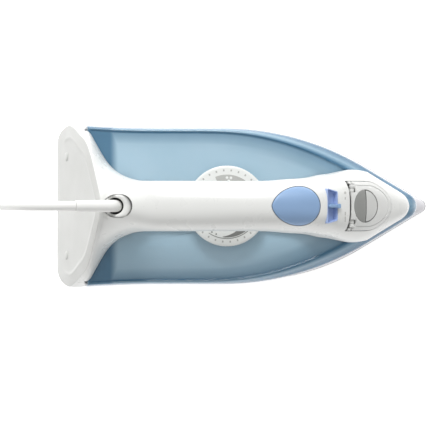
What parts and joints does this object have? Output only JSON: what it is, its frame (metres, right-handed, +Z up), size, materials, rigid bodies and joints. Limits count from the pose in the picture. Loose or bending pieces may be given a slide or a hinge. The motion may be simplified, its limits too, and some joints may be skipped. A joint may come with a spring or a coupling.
{
  "type": "clothes iron",
  "caption": "Steam iron with a translucent water tank, closed-loop handle, temperature dial, steam slider, boost button, hinged filler door and mains cord on a swivel.",
  "frame": {"origin": "middle of the iron under its soleplate, on the surface it stands on", "axes": "+X to the nose, +Y to the left seen from the heel, +Z up"},
  "size_m": [0.5289, 0.1424, 0.1341],
  "materials": {
    "white_shell": "satin moulded plastic",
    "grey_plastic": "satin moulded plastic",
    "tank_blue": "translucent moulded plastic",
    "button_blue": "satin moulded plastic",
    "aluminium_plate": "polished sole, plain plate elsewhere",
    "cast_aluminium": "as cast",
    "steel": "plated",
    "brass": "plain",
    "clear_door": "clear moulded plastic",
    "tinted_window": "clear and grey tinted plastic",
    "cord_white": "flexible PVC",
    "seal_rubber": "silicone rubber",
    "ceramic_body": "glazed ceramic",
    "wire_copper": "sleeved wire"
  },
  "bodies": {
    "housing_body": {"soleplate": "aluminium_plate", "heater_casting": "cast_aluminium", "heating_element": "steel", "element_terminals": "brass", "chamber_cover": "aluminium_plate", "chamber_screws": "steel", "heat_shield": "white_shell", "shield_screws": "steel", "tank_shell": "tank_blue", "tank_floor": "white_shell", "tank_gasket": "seal_rubber", "shaft_sleeve": "white_shell", "thermostat_body": "ceramic_body", "thermostat_blades": "brass", "thermal_fuse": "ceramic_body", "handle_cover": "white_shell", "handle_base": "white_shell", "heel_cover": "grey_plastic", "heel_feet": "grey_plastic", "cord_socket": "grey_plastic", "cord_clamp": "grey_plastic", "terminal_block": "grey_plastic", "inner_wires": "wire_copper", "inlet_frame": "grey_plastic", "inlet_seal": "seal_rubber", "slider_track": "button_blue", "pump_body": "grey_plastic", "pump_tube": "grey_plastic", "pump_spring": "steel", "valve_seat": "brass", "door_pins": "steel"},
    "dial": {"dial_knob": "white_shell", "dial_shaft": "brass"},
    "slider": {"slider_knob": "button_blue", "slider_cam": "grey_plastic"},
    "valve": {"valve_rod": "steel"},
    "boost": {"button_cap": "button_blue", "pump_piston": "grey_plastic", "piston_ring": "seal_rubber"},
    "door": {"door_panel": "clear_door", "door_window": "tinted_window"},
    "cord": {"cord_guard": "cord_white", "cord_lead": "cord_white", "cord_coil": "cord_white", "cord_tail": "cord_white", "cord_tie": "grey_plastic", "plug_body": "cord_white", "plug_pins": "steel", "plug_relief": "cord_white"}
  },
  "joints": [
    {"name": "dial_turn", "type": "hinge", "parent": "housing_body", "child": "dial", "pos_m": [-0.012, 0, 0.0654], "axis": [0, 0, 1], "range_deg": [0, 270]},
    {"name": "steam_slide", "type": "slide", "parent": "housing_body", "child": "slider", "axis": [0, 1, 0], "range_m": [-0.007, 0.007]},
    {"name": "valve_lift", "type": "slide", "parent": "housing_body", "child": "valve", "axis": [0, 0, 1], "range_m": [-0.0012, 0.0012]},
    {"name": "boost_press", "type": "slide", "parent": "housing_body", "child": "boost", "axis": [0, 0, -1], "range_m": [0, 0.004], "stiffness_N_per_m": 800, "springref_m": -0.001, "deforming": ["pump_spring"]},
    {"name": "door_open", "type": "hinge", "parent": "housing_body", "child": "door", "pos_m": [0.07852, 0, 0.1062], "axis": [0, -1, 0], "range_deg": [0, 95]},
    {"name": "cord_swivel", "type": "hinge", "parent": "housing_body", "child": "cord", "pos_m": [-0.0934, 0, 0.11], "axis": [0, 0, 1], "range_deg": [-25, 25]}
  ],
  "couplings": [
    {"joint": "valve_lift", "follows": "steam_slide", "ratio": 0.16667}
  ]
}
